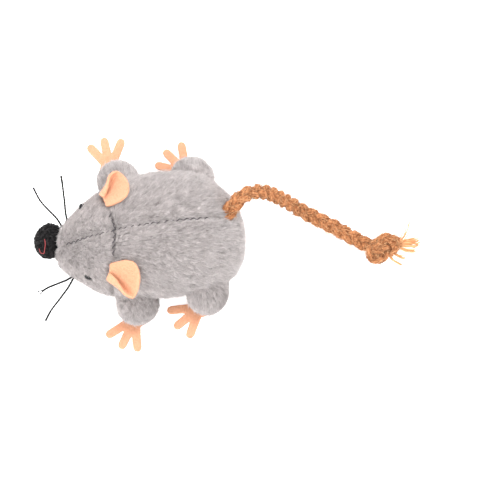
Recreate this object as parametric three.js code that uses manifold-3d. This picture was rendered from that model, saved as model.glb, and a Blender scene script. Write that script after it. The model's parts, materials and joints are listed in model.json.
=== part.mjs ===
// Plush cat-toy mouse: sewn plush body, head and legs over fibre stuffing, felt ears and
// paws, a pompom nose, bead eyes, waxed-cord whiskers and a knotted, braided rope tail.
// Millimetres. The nose points along -Y, the mouse's left is +X, +Z is up, and the origin
// is the middle of the flat belly that the toy rests on.
import * as THREE from "three";
import { mergeVertices } from "three/addons/utils/BufferGeometryUtils.js";
import Module from "manifold-3d";

const wasm = await Module();
wasm.setup();
const { Manifold } = wasm;
const { degToRad, smoothstep } = THREE.MathUtils;

// ---- driving dimensions -------------------------------------------------------------
const GAP = 0.3; // between pieces that touch or are sewn together
const FAR = 90; // further than the toy reaches
const CLOTH = 1.8; // plush backing and the roots of its pile
const BELLY_SEAM_Z = 8; // the belly panel reaches this far up each side
// Where head panels meet back panels, and the angle by which the seam runs forward from
// the middle on each side.
const NECK_SEAM = { y: -20.6, slant: 12 };

// Body outline from the snout to the rump: y, half width, top height, bottom height.
// The bottom dips below 0 in the middle, where it is cut off flat.
const BODY_STATIONS = [
  [-48.2, 0, 11.5, 11.5],
  [-47, 6, 17.2, 5.8],
  [-43.2, 10.8, 21.2, 2.8],
  [-35.5, 16.6, 29, 0],
  [-24, 23, 37.5, -2.5],
  [-12, 25.8, 42.5, -4],
  [4, 26, 44.5, -4],
  [18, 23.6, 42, -3],
  [27, 18.1, 36, 0],
  [32, 11, 28.5, 5],
  [34, 0, 17.5, 17.5],
];
// The rump leans to the mouse's left, by more towards its end.
const RUMP_LEAN = { from: 12, to: 34, by: 3 };
const WIDEST = 0.42; // height of the widest point, as a share of the section's height
const OUTSIDE_MESH = { ringsPerStation: 2, ringPoints: 24 };
const INSIDE_MESH = { ringsPerStation: 1, ringPoints: 16 };

// A leg is a plush sleeve that sticks out sideways: "root" is where it leaves the body's
// middle, "forward" the angle by which it points ahead. "palm" is the middle of its paw and
// "turn" the angle by which the paw's fingers point ahead.
const LEG = { rootRadius: 9.2, endRadius: 8.6, height: 10.5, swing: 15, cloth: 1.4, clearance: 0.4 };
const LEGS = [
  { name: "front_left", side: 1, root: [20.5, -14.8], reach: 15.8, forward: 3,
    palm: [33.1, -17.4], turn: 32 },
  { name: "front_right", side: -1, root: [20.5, -16.6], reach: 16, forward: 11,
    palm: [36.3, -21.3], turn: 5 },
  { name: "rear_left", side: 1, root: [20, 15.5], reach: 15, forward: -2,
    palm: [31.3, 12.2], turn: 58 },
  { name: "rear_right", side: -1, root: [19.5, 14.4], reach: 14.8, forward: -4,
    palm: [30.2, 12.8], turn: 36 },
];

const PAW = { thickness: 1.2, z: 2.6, fingerRadius: 1.9, fingerReach: 15.1 };
const PAW_PALM = { radius: 4.6, from: -1.5, to: 1 };
const PAW_FINGER_ANGLES = [-32, 1, 31];
const PAW_HEEL = { length: 6, halfWidth: 3.4 }; // sewn into the end of the leg

// Each ear is a felt lobe behind a crease, with a narrower flap in front that is folded
// over the lobe at the base and opens into a hollow towards the tip. It stands on the neck
// seam at "angle" up from the side. "outward" turns its crease away from the body's length,
// "rise" lifts its tip and "roll" lifts the lobe off the neck's slope. The right ear is sewn
// deeper into the seam, so less of its length shows.
const EAR = {
  thickness: 1.2,
  lobe: { base: 5.4, widest: 14.2, cup: 0.009, baseSlant: 0.39 },
  flap: { atBase: 6.2, atTip: 5, foldRadius: 0.95, foldAtBase: 168, foldAtTip: 105 },
  stand: 2.2,
  bluntTip: 0.15, // the tip is cut off this short of a point
};
const EARS = [
  { name: "ear_left", side: 1, y: -25.6, angle: 41, outward: 44, rise: 8, roll: 38, length: 14.8 },
  { name: "ear_right", side: -1, y: -24.6, angle: 49, outward: 48, rise: 12, roll: 38, length: 13.2 },
];

// The pompom nose is widest across and is turned a little about Z.
const NOSE = { radii: [7.8, 6.6, 6.8], centre: [-4.4, -51.3, 11.5], turn: -17 };
const EYE = { radius: 1.75, out: 0.5, ahead: 0.3 };
const EYES = [
  { name: "eye_left", side: 1, y: -34.6, angle: 31 },
  { name: "eye_right", side: -1, y: -34.2, angle: 29 },
];

const WHISKER = { radius: 0.45, bow: 0.7 };
const WHISKERS = [
  { name: "whisker_right_front", root: [-7.4, -43.8, 13.6], tip: [-28.6, -56.4, 14] },
  { name: "whisker_right_rear", root: [-9.8, -42, 14], tip: [-32.4, -43.3, 16] },
  { name: "whisker_left_front", root: [12.6, -40.9, 12], tip: [18.5, -58.2, 12] },
  { name: "whisker_left_rear", root: [12.5, -41.1, 11], tip: [30.9, -56.6, 10] },
];

// Sewing thread closes the seams along the back and across the neck, where it crosses over
// the back's. Its places are given by y, and by the angle up from the mouse's left side.
const THREAD = { radius: 0.3, lift: 0.65, crossing: 0.66 };
const BACK_SEAM_PLACES = [-43, -36, -28, -18, -6, 6, 16, 21];
const NECK_SEAM_ANGLES = [64, 72, 81, 90, 99, 108];

// A loop of red thread over the front of the nose, on the mouse's left: the angles of turn
// from straight ahead and of rise.
const NOSE_STITCH = [
  [34, 78],
  [78, 70],
  [84, 52],
  [84, 36],
  [70, 32],
  [56, 42],
];

// The tail is laid from inside the rump, out of the end of the back seam, down in one arc
// and along the floor to its knot.
const TAIL = { radius: 3.3, pivot: [-1.9, 26.2, 33], swing: 25, clearance: 0.4 };
const TAIL_ROUTE = [
  [-0.4, 21.5, 28.5],
  [-1.2, 24.6, 31.4],
  [-2.5, 27.8, 34.0],
  [-4.6, 30.4, 35.8],
  [-7.4, 33.4, 36.5],
  [-9.6, 36.8, 35.9],
  [-11.0, 41.0, 33.4],
  [-11.6, 45.0, 29.4],
  [-11.3, 48.9, 24.2],
  [-10.4, 53.0, 17.4],
  [-9.0, 57.2, 11.0],
  [-6.8, 61.6, 6.2],
  [-4.2, 66.0, 3.9],
  [-1.4, 70.4, 3.5],
  [1.8, 75.2, 3.5],
  [5.8, 80.6, 3.5],
  [9.2, 85.4, 3.7],
  [12.4, 89.6, 4.2],
];
const PAST_ROPE_END = [12.7, 89.9, 4.25]; // the knot leaves the rope's end this much room
const KNOT_LOBES = [
  { centre: [16.4, 92.6, 5.1], radius: 4.9 },
  { centre: [12.8, 98.4, 5.9], radius: 5.6 },
];
const FRINGE = { start: [13.4, 104.4, 4.6], end: [13.9, 113, 2.9], rootRadius: 2.3, tipRadius: 1.6 };

// ---- materials ----------------------------------------------------------------------
const finish = (color, roughness) => new THREE.MeshStandardMaterial({ color, roughness, metalness: 0 });
const plush = finish(0xbdb7b9, 0.95);
const felt = finish(0xf2b78c, 0.95);
const fibre = finish(0xf2efe9, 1);
const blackWool = finish(0x161416, 0.95);
const blackBead = finish(0x070707, 0.15);
const blackCord = finish(0x101010, 0.5);
const greyThread = finish(0x4a4547, 0.8);
const redThread = finish(0x8f3b3d, 0.7);
const jute = finish(0xc98f5c, 0.9);

const toy = new THREE.Group();

function addPart(name, solid, material) {
  const mesh = new THREE.Mesh(geometryOf(solid), material);
  mesh.name = name;
  toy.add(mesh);
}

// ---- solids -------------------------------------------------------------------------
function solidOf(geometry) {
  const bare = geometry.clone();
  bare.deleteAttribute("normal");
  bare.deleteAttribute("uv");
  const merged = mergeVertices(bare, 1e-4);
  return new Manifold(
    new wasm.Mesh({
      numProp: 3,
      vertProperties: new Float32Array(merged.attributes.position.array),
      triVerts: new Uint32Array(merged.index.array),
    }),
  );
}

function geometryOf(solid) {
  const mesh = solid.getMesh();
  const geometry = new THREE.BufferGeometry();
  geometry.setAttribute("position", new THREE.BufferAttribute(mesh.vertProperties, 3));
  geometry.setIndex(new THREE.BufferAttribute(mesh.triVerts, 1));
  return geometry;
}

const joined = (solids) => solids.reduce((whole, piece) => whole.add(piece));
const cutBy = (solid, tools) => tools.reduce((rest, tool) => rest.subtract(tool), solid);

// The largest of a cut solid's separate pieces, without the crumbs of the cut.
function withoutCrumbs(solid) {
  const pieces = solid.decompose();
  return pieces.reduce((largest, piece) => (piece.volume() > largest.volume() ? piece : largest));
}

function sphere(radius, centre, segments) {
  const geometry = new THREE.SphereGeometry(radius, segments, Math.round(segments * 0.7));
  return solidOf(geometry.translate(...centre));
}

// The nose's pompom, grown by "grow" all round.
function noseSolid(grow) {
  const shape = NOSE.radii.map((radius) => radius + grow);
  return sphere(1, [0, 0, 0], 14).scale(shape).rotate([0, 0, NOSE.turn]).translate(NOSE.centre);
}

function boxBetween(low, high) {
  const size = high.map((value, axis) => value - low[axis]);
  const geometry = new THREE.BoxGeometry(...size);
  return solidOf(geometry.translate(...low.map((value, axis) => value + size[axis] / 2)));
}

function tube(curve, radius, sides, steps) {
  const corners = [];
  for (let i = 0; i < sides; i += 1) {
    const angle = (2 * Math.PI * i) / sides;
    corners.push(new THREE.Vector2(radius * Math.cos(angle), radius * Math.sin(angle)));
  }
  const options = { extrudePath: curve, steps, bevelEnabled: false };
  return solidOf(new THREE.ExtrudeGeometry(new THREE.Shape(corners), options));
}

const splineThrough = (points) => new THREE.CatmullRomCurve3(points.map((p) => new THREE.Vector3(...p)));

// The same solid turned about a vertical axis through a pivot, at every step of its swing.
function sweptAbout(solid, pivot, swing, turns) {
  const poses = [];
  for (let i = 0; i < turns; i += 1) {
    const angle = -swing + (2 * swing * i) / (turns - 1);
    const away = [-pivot[0], -pivot[1], 0];
    poses.push(solid.translate(away).rotate([0, 0, angle]).translate([pivot[0], pivot[1], 0]));
  }
  return joined(poses);
}

// ---- body form ----------------------------------------------------------------------
const bodyCurve = (column) =>
  new THREE.CatmullRomCurve3(
    BODY_STATIONS.map((row) => new THREE.Vector3(row[1], row[0], row[column])),
    false,
    "catmullrom",
  );
const topCurve = bodyCurve(2);
const bottomCurve = bodyCurve(3);

function sectionPoint(share, angle) {
  const top = topCurve.getPoint(share);
  const bottom = bottomCurve.getPoint(share);
  const middle = bottom.z + WIDEST * (top.z - bottom.z);
  const rise = Math.sin(angle) > 0 ? top.z - middle : middle - bottom.z;
  const lean = RUMP_LEAN.by * smoothstep(top.y, RUMP_LEAN.from, RUMP_LEAN.to);
  return new THREE.Vector3(lean + top.x * Math.cos(angle), top.y, middle + rise * Math.sin(angle));
}

// The point of the plush surface at a given y, at an angle up from the mouse's left side.
function onBody(y, angle) {
  let low = 0;
  let high = 1;
  for (let i = 0; i < 30; i += 1) {
    const half = (low + high) / 2;
    if (topCurve.getPoint(half).y < y) low = half;
    else high = half;
  }
  return sectionPoint(low, angle);
}

// The whole body form, shrunk towards its middle by "inset" and cut flat underneath.
function bodyForm(inset, { ringsPerStation, ringPoints }) {
  const first = BODY_STATIONS[0];
  const last = BODY_STATIONS.at(-1);
  const rings = (BODY_STATIONS.length - 1) * ringsPerStation;
  const positions = [first[1], first[0], first[2]];
  for (let ring = 1; ring < rings; ring += 1) {
    for (let i = 0; i < ringPoints; i += 1) {
      positions.push(...sectionPoint(ring / rings, (2 * Math.PI * i) / ringPoints).toArray());
    }
  }
  positions.push(last[1], last[0], last[2]);
  const faces = [];
  const end = positions.length / 3 - 1;
  for (let i = 0; i < ringPoints; i += 1) {
    const next = (i + 1) % ringPoints;
    faces.push(0, 1 + i, 1 + next);
    faces.push(end, end - ringPoints + next, end - ringPoints + i);
    for (let ring = 0; ring < rings - 2; ring += 1) {
      const a = 1 + ring * ringPoints;
      const b = a + ringPoints;
      faces.push(a + i, b + i, b + next, a + i, b + next, a + next);
    }
  }
  const geometry = new THREE.BufferGeometry();
  geometry.setAttribute("position", new THREE.Float32BufferAttribute(positions, 3));
  geometry.setIndex(faces);
  geometry.computeBoundingBox();
  const size = geometry.boundingBox.getSize(new THREE.Vector3());
  const centre = geometry.boundingBox.getCenter(new THREE.Vector3());
  geometry.translate(-centre.x, -centre.y, -centre.z);
  geometry.scale(...size.toArray().map((length) => 1 - (2 * inset) / length));
  geometry.translate(centre.x, centre.y, centre.z);
  const aboveFloor = boxBetween([-FAR, -FAR, inset], [FAR, FAR, FAR]);
  return solidOf(geometry).intersect(aboveFloor);
}

// ---- legs ---------------------------------------------------------------------------
// A leg is turned about Y from a lathe whose axis runs from the root along the leg.
function legPose(solid, leg) {
  const forwardTurn = leg.side > 0 ? -leg.forward : 180 + leg.forward;
  const upright = solid.rotate([0, 0, -90]);
  return upright.rotate([0, 0, forwardTurn]).translate([leg.side * leg.root[0], leg.root[1], LEG.height]);
}

function latheSolid(profile) {
  const points = profile.map(([radius, along]) => new THREE.Vector2(radius, along));
  return solidOf(new THREE.LatheGeometry(points, 12));
}

// The outer end of a leg in profile: straight sides and a round tip, shrunk by "inset".
function legEndProfile(leg, inset) {
  const tipCentre = leg.reach - LEG.endRadius;
  const radius = LEG.endRadius - inset;
  const profile = [[LEG.rootRadius - inset, 0]];
  for (let i = 0; i <= 4; i += 1) {
    const angle = (Math.PI / 2) * (i / 4);
    profile.push([radius * Math.cos(angle), tipCentre + radius * Math.sin(angle)]);
  }
  profile.at(-1)[0] = 0;
  return profile;
}

function roundRootProfile(radius) {
  const profile = [];
  for (let i = 0; i < 4; i += 1) {
    const angle = (-Math.PI / 2) * (1 - i / 4);
    profile.push([radius * Math.cos(angle), radius * Math.sin(angle)]);
  }
  profile[0][0] = 0;
  return profile;
}

function legFilling(leg) {
  const inset = LEG.cloth + GAP;
  return latheSolid([...roundRootProfile(LEG.rootRadius - inset), ...legEndProfile(leg, inset)]);
}

// The hollow in the body that a leg's root turns in: round inside, flared outwards as far
// as the leg swings.
function legSocket(leg) {
  const swing = degToRad(LEG.swing);
  const radius = LEG.rootRadius + LEG.clearance;
  const mouth = radius / Math.cos(swing) + leg.reach * Math.tan(swing);
  return latheSolid([...roundRootProfile(radius), [radius, 0], [mouth, leg.reach], [0, leg.reach]]);
}

function legSleeve(leg) {
  const inner = legEndProfile(leg, LEG.cloth).reverse();
  return latheSolid([...inner, ...legEndProfile(leg, 0)]);
}

// ---- paws ---------------------------------------------------------------------------
function flatCapsule(from, to, radius, thickness, bottom) {
  const angle = Math.atan2(to[1] - from[1], to[0] - from[0]);
  const outline = new THREE.Shape();
  outline.absarc(...to, radius, angle - Math.PI / 2, angle + Math.PI / 2, false);
  outline.absarc(...from, radius, angle + Math.PI / 2, angle + (3 * Math.PI) / 2, false);
  const options = { depth: thickness, bevelEnabled: false, curveSegments: 2 };
  return solidOf(new THREE.ExtrudeGeometry(outline, options).translate(0, 0, bottom));
}

// A felt hand drawn flat, its palm's centre at the origin and its fingers along +X.
function pawAt(leg, grow) {
  const thickness = PAW.thickness + 2 * grow;
  const bottom = PAW.z - PAW.thickness / 2 - grow;
  const heel = flatCapsule([-PAW_HEEL.length, 0], [0, 0], PAW_HEEL.halfWidth + grow, thickness, bottom);
  const palm = flatCapsule([PAW_PALM.from, 0], [PAW_PALM.to, 0], PAW_PALM.radius + grow, thickness, bottom);
  const fingers = PAW_FINGER_ANGLES.map((degrees) => {
    const angle = degToRad(degrees);
    const reach = PAW.fingerReach - PAW.fingerRadius;
    const tip = [reach * Math.cos(angle), reach * Math.sin(angle)];
    return flatCapsule([0, 0], tip, PAW.fingerRadius + grow, thickness, bottom);
  });
  const hand = joined([palm, heel, ...fingers]);
  const turn = leg.side > 0 ? -leg.turn : 180 + leg.turn;
  return hand.rotate([0, 0, turn]).translate([leg.side * leg.palm[0], leg.palm[1], 0]);
}

// ---- ears ---------------------------------------------------------------------------
// The ear lies flat in its own frame before it is bent: the crease runs from the base along
// +Y, the lobe is at -X and the flap at +X.
function earEdges(along, length) {
  const { lobe, flap } = EAR;
  const beyond = Math.max(0, (2 * along) / length - 1);
  const round = Math.sqrt(Math.max(0, 1 - beyond * beyond));
  const lobeWidth = lobe.base + (lobe.widest - lobe.base) * smoothstep(along, -1, length / 2);
  const flapWidth = flap.atBase + ((flap.atTip - flap.atBase) * along) / length;
  return { lobe: -lobeWidth * round, flap: flapWidth * round };
}

// The bent felt's middle surface: a cupped lobe, and a flap rolled over the crease.
function earSurface(across, along, length) {
  const { lobe, flap } = EAR;
  if (across <= 0) {
    const slant = lobe.baseSlant * across * (1 - smoothstep(along, 0, length / 2));
    return new THREE.Vector3(across, along + slant, lobe.cup * across * across);
  }
  const opening = smoothstep(along, 0.15 * length, 0.85 * length);
  const fold = degToRad(flap.foldAtBase + (flap.foldAtTip - flap.foldAtBase) * opening);
  const rolled = Math.min(across / flap.foldRadius, fold);
  const straight = across - rolled * flap.foldRadius;
  const x = flap.foldRadius * Math.sin(rolled) + straight * Math.cos(rolled);
  const z = flap.foldRadius * (1 - Math.cos(rolled)) + straight * Math.sin(rolled);
  return new THREE.Vector3(x, along, z);
}

function earSolid(length, rows = 9, lobeColumns = 6, flapColumns = 6) {
  const point = (across, along, side) => {
    const step = 0.01;
    const surface = (x, y) => earSurface(x, y, length);
    const here = surface(across, along);
    const acrossDirection = surface(across + step, along).sub(surface(across - step, along));
    const alongDirection = surface(across, along + step).sub(surface(across, along - step));
    const normal = acrossDirection.cross(alongDirection).normalize();
    return here.addScaledVector(normal, (side * EAR.thickness) / 2);
  };
  const columns = lobeColumns + flapColumns;
  const positions = [];
  for (const side of [-1, 1]) {
    for (let row = 0; row <= rows; row += 1) {
      const along = (length - EAR.bluntTip) * Math.sin((Math.PI / 2) * (row / rows));
      const edges = earEdges(along, length);
      for (let column = 0; column <= columns; column += 1) {
        const across =
          column <= lobeColumns
            ? edges.lobe * (1 - column / lobeColumns)
            : (edges.flap * (column - lobeColumns)) / flapColumns;
        positions.push(...point(across, along, side).toArray());
      }
    }
  }
  const width = columns + 1;
  const layer = width * (rows + 1);
  const faces = [];
  const quad = (a, b, c, d) => faces.push(a, b, c, a, c, d);
  for (let row = 0; row < rows; row += 1) {
    for (let column = 0; column < columns; column += 1) {
      const a = row * width + column;
      quad(a, a + width, a + width + 1, a + 1);
      quad(layer + a, layer + a + 1, layer + a + width + 1, layer + a + width);
    }
    const left = row * width;
    const right = left + columns;
    quad(left, layer + left, layer + left + width, left + width);
    quad(right, right + width, layer + right + width, layer + right);
  }
  for (let column = 0; column < columns; column += 1) {
    const tip = rows * width + column;
    quad(column, column + 1, layer + column + 1, layer + column);
    quad(tip, layer + tip, layer + tip + 1, tip + 1);
  }
  const geometry = new THREE.BufferGeometry();
  geometry.setAttribute("position", new THREE.Float32BufferAttribute(positions, 3));
  geometry.setIndex(faces);
  return solidOf(geometry);
}

function earPose(solid, ear) {
  const rolled = solid.rotate([0, ear.roll, 0]).rotate([ear.rise, 0, 0]);
  const own = ear.side > 0 ? rolled : rolled.mirror([1, 0, 0]);
  const angle = degToRad(ear.angle);
  const base = onBody(ear.y, angle);
  base.x += EAR.stand * Math.cos(angle);
  base.z += EAR.stand * Math.sin(angle);
  return own.rotate([0, 0, -ear.side * ear.outward]).translate([ear.side * base.x, base.y, base.z]);
}

// ---- the parts that cut into the plush ----------------------------------------------
const tailCurve = splineThrough(TAIL_ROUTE);
const tailRootCurve = splineThrough(TAIL_ROUTE.slice(0, 5));
const whiskerCurve = (whisker) => {
  const root = new THREE.Vector3(...whisker.root);
  const tip = new THREE.Vector3(...whisker.tip);
  const middle = root.clone().lerp(tip, 0.5).add(new THREE.Vector3(0, 0, WHISKER.bow));
  return new THREE.CatmullRomCurve3([root, middle, tip]);
};
const eyeCentre = (eye) => {
  const point = onBody(eye.y, degToRad(eye.angle));
  return [eye.side * (point.x + EYE.out), point.y - EYE.ahead, point.z];
};

const legSockets = LEGS.map((leg) => legPose(legSocket(leg), leg));
const tailRoot = tube(tailRootCurve, TAIL.radius + TAIL.clearance, 8, 3);
const tailSocket = sweptAbout(tailRoot, TAIL.pivot, TAIL.swing, 7);
const trimPockets = [
  noseSolid(GAP),
  ...EYES.map((eye) => sphere(EYE.radius + GAP, eyeCentre(eye), 10)),
  ...WHISKERS.map((whisker) => tube(whiskerCurve(whisker), WHISKER.radius + GAP, 6, 3)),
];

// ---- body panels and stuffing -------------------------------------------------------
const skin = bodyForm(0, OUTSIDE_MESH).subtract(bodyForm(CLOTH, INSIDE_MESH));
const half = GAP / 2;
const aboveBellySeam = boxBetween([-FAR, -FAR, BELLY_SEAM_Z + half], [FAR, FAR, FAR]);
const leftSide = boxBetween([half, -FAR, -FAR], [FAR, FAR, FAR]);
const rightSide = boxBetween([-FAR, -FAR, -FAR], [-half, FAR, FAR]);
const aheadOfSeam = boxBetween([-FAR, -FAR, -FAR], [FAR, -half, FAR]);
const behindSeam = boxBetween([-FAR, half, -FAR], [FAR, FAR, FAR]);
const slanted = (solid, side) =>
  solid.rotate([0, 0, -side * NECK_SEAM.slant]).translate([0, NECK_SEAM.y, 0]);

const panels = [
  { name: "head_left", bounds: [leftSide, slanted(aheadOfSeam, 1), aboveBellySeam] },
  { name: "head_right", bounds: [rightSide, slanted(aheadOfSeam, -1), aboveBellySeam] },
  { name: "back_left", bounds: [leftSide, slanted(behindSeam, 1), aboveBellySeam] },
  { name: "back_right", bounds: [rightSide, slanted(behindSeam, -1), aboveBellySeam] },
  { name: "belly_panel", bounds: [boxBetween([-FAR, -FAR, -half], [FAR, FAR, BELLY_SEAM_Z - half])] },
];
const hollows = [...legSockets, tailSocket, ...trimPockets];
for (const panel of panels) {
  const cloth = panel.bounds.reduce((rest, bound) => rest.intersect(bound), skin);
  addPart(panel.name, withoutCrumbs(cutBy(cloth, hollows)), plush);
}
const stuffing = bodyForm(CLOTH + GAP, INSIDE_MESH);
addPart("body_stuffing", withoutCrumbs(cutBy(stuffing, hollows)), fibre);

const backSeam = BACK_SEAM_PLACES.map((y) => {
  const point = onBody(y, Math.PI / 2);
  return [0, point.y, point.z + THREAD.lift];
});
const neckSeam = NECK_SEAM_ANGLES.map((degrees) => {
  const angle = degToRad(degrees);
  const beside = Math.abs(onBody(NECK_SEAM.y, angle).x);
  const slope = Math.tan(degToRad(NECK_SEAM.slant));
  const point = onBody(NECK_SEAM.y - slope * beside, angle);
  return [
    point.x + THREAD.lift * Math.cos(angle),
    point.y,
    point.z + (THREAD.lift + THREAD.crossing) * Math.sin(angle),
  ];
});
addPart("back_seam_thread", tube(splineThrough(backSeam), THREAD.radius, 6, 14), greyThread);
addPart("neck_seam_thread", tube(splineThrough(neckSeam), THREAD.radius, 6, 8), greyThread);

// ---- face ---------------------------------------------------------------------------
addPart("nose", noseSolid(0), blackWool);
for (const eye of EYES) addPart(eye.name, sphere(EYE.radius, eyeCentre(eye), 10), blackBead);
for (const whisker of WHISKERS) {
  addPart(whisker.name, tube(whiskerCurve(whisker), WHISKER.radius, 6, 4), blackCord);
}

const stitchPoints = NOSE_STITCH.map(([turn, rise]) => {
  const direction = new THREE.Vector3().setFromSphericalCoords(1, degToRad(90 - rise), degToRad(turn));
  const place = new THREE.Vector3(
    direction.x * (NOSE.radii[0] + THREAD.lift),
    -direction.z * (NOSE.radii[1] + THREAD.lift),
    direction.y * (NOSE.radii[2] + THREAD.lift),
  );
  place.applyAxisAngle(new THREE.Vector3(0, 0, 1), degToRad(NOSE.turn));
  return place.add(new THREE.Vector3(...NOSE.centre)).toArray();
});
addPart("nose_stitch", tube(splineThrough(stitchPoints), THREAD.radius, 6, 10), redThread);

// ---- legs and paws ------------------------------------------------------------------
for (const leg of LEGS) {
  const slot = pawAt(leg, GAP);
  addPart(`leg_${leg.name}`, legPose(legSleeve(leg), leg).subtract(slot), plush);
  addPart(`leg_stuffing_${leg.name}`, legPose(legFilling(leg), leg).subtract(slot), fibre);
  addPart(`paw_${leg.name}`, pawAt(leg, 0), felt);
}

// ---- ears ---------------------------------------------------------------------------
for (const ear of EARS) addPart(ear.name, earPose(earSolid(ear.length), ear), felt);

// ---- tail ---------------------------------------------------------------------------
addPart("tail_rope", tube(tailCurve, TAIL.radius, 8, 32), jute);
const ropeEnd = splineThrough([...TAIL_ROUTE.slice(-3), PAST_ROPE_END]);
const lobes = joined(KNOT_LOBES.map((lobe) => sphere(lobe.radius, lobe.centre, 10)));
addPart("tail_knot", lobes.subtract(tube(ropeEnd, TAIL.radius + GAP, 8, 4)), jute);
const fringeLine = splineThrough([FRINGE.start, FRINGE.end]);
const fringeLength = fringeLine.getLength();
const fringe = new THREE.CylinderGeometry(FRINGE.tipRadius, FRINGE.rootRadius, fringeLength, 10);
fringe.applyQuaternion(
  new THREE.Quaternion().setFromUnitVectors(new THREE.Vector3(0, 1, 0), fringeLine.getTangent(0.5)),
);
addPart("tail_fringe", solidOf(fringe.translate(...fringeLine.getPoint(0.5).toArray())), jute);

export default toy;
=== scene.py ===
"""Looks for the plush mouse: sewn plush with a short pile, felt ears and paws, a wool pompom
nose, bead eyes, cord whiskers and a knotted, three-strand braided jute tail. Metres."""

import json
import math

import bmesh
import bpy
import numpy as np
from mathutils import Matrix, Vector, noise
from mathutils.bvhtree import BVHTree
from mathutils.kdtree import KDTree


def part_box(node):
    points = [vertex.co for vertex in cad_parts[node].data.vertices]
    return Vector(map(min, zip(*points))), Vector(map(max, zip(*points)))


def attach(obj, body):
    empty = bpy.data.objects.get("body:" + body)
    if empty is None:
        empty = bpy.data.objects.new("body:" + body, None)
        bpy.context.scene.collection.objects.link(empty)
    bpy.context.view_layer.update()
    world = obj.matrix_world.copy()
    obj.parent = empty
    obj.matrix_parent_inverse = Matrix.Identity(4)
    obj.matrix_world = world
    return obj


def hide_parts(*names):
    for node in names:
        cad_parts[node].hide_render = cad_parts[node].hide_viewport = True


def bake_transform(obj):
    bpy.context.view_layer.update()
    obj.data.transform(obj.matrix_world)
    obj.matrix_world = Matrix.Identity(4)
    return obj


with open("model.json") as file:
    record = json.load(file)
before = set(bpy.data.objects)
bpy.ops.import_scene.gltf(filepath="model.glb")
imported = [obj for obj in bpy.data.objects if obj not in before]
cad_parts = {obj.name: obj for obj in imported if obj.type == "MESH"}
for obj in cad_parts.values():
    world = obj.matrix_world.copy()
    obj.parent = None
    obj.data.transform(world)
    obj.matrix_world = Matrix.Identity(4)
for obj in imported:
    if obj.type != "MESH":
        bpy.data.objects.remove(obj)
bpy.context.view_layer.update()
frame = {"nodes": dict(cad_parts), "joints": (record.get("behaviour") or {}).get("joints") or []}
nodes = frame["nodes"]

MM = 0.001
LEGS = ("front_left", "front_right", "rear_left", "rear_right")
PANELS = ("head_left", "head_right", "back_left", "back_right", "belly_panel")
UP = np.array([0.0, 0.0, 1.0])


# ---- small tools ----------------------------------------------------------------------
def unit(v):
    return v / np.maximum(np.linalg.norm(v, axis=-1, keepdims=True), 1e-12)


def smoothstep(x, low, high):
    t = np.clip((x - low) / (high - low), 0, 1)
    return t * t * (3 - 2 * t)


def spline(points, step):
    """A centripetal Catmull-Rom curve through points, sampled about every step metres."""
    points = np.asarray(points, float)
    ends = [2 * points[0] - points[1]], [2 * points[-1] - points[-2]]
    p = np.concatenate([ends[0], points, ends[1]])
    knots = np.concatenate([[0], np.cumsum(np.linalg.norm(np.diff(p, axis=0), axis=1) ** 0.5)])
    made = []
    for i in range(1, len(p) - 2):
        t0, t1, t2, t3 = knots[i - 1 : i + 3]
        count = max(2, int(np.ceil(np.linalg.norm(p[i + 1] - p[i]) / step)))
        t = np.linspace(t1, t2, count, endpoint=False)[:, None]
        a1 = (t1 - t) / (t1 - t0) * p[i - 1] + (t - t0) / (t1 - t0) * p[i]
        a2 = (t2 - t) / (t2 - t1) * p[i] + (t - t1) / (t2 - t1) * p[i + 1]
        a3 = (t3 - t) / (t3 - t2) * p[i + 1] + (t - t2) / (t3 - t2) * p[i + 2]
        b1 = (t2 - t) / (t2 - t0) * a1 + (t - t0) / (t2 - t0) * a2
        b2 = (t3 - t) / (t3 - t1) * a2 + (t - t1) / (t3 - t1) * a3
        made.append((t2 - t) / (t2 - t1) * b1 + (t - t1) / (t2 - t1) * b2)
    return np.concatenate([*made, [points[-1]]])


def evenly(path, step):
    """The same line with its points about step metres apart."""
    along = np.concatenate([[0], np.cumsum(np.linalg.norm(np.diff(path, axis=0), axis=1))])
    places = np.linspace(0, along[-1], max(2, int(round(along[-1] / step)) + 1))
    return np.stack([np.interp(places, along, path[:, k]) for k in range(3)], axis=1)


WAVES = 6  # added up in each ripple
WAVE_GAIN = 1.6  # makes up for the waves cancelling one another


def ripple(points, size, seed):
    """Smooth values about 0, mostly between -1 and 1, that change over about size metres."""
    rng = np.random.default_rng(seed)
    value = np.zeros(len(points))
    for _ in range(WAVES):
        wave = unit(rng.normal(size=3)) * (2 * np.pi / size) * rng.uniform(0.6, 1.4)
        value += np.sin(points @ wave + rng.uniform(0, 2 * np.pi))
    return value / WAVES * WAVE_GAIN


def keep_off_floor(points, gap):
    points[..., 2] = np.maximum(points[..., 2], gap)


def mean_of_least(points, measure, count=6):
    """The middle of the points that have the least of a measure."""
    return points[np.argsort(measure)[:count]].mean(0)


def triangle_areas(points, triangles):
    a, b, c = (points[triangles[:, k]] for k in range(3))
    return np.linalg.norm(np.cross(b - a, c - a), axis=1) / 2


def linked(name, data):
    """A new object in the scene."""
    made = bpy.data.objects.new(name, data)
    bpy.context.scene.collection.objects.link(made)
    return made


def shade_smooth(mesh):
    mesh.polygons.foreach_set("use_smooth", np.full(len(mesh.polygons), True))


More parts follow.
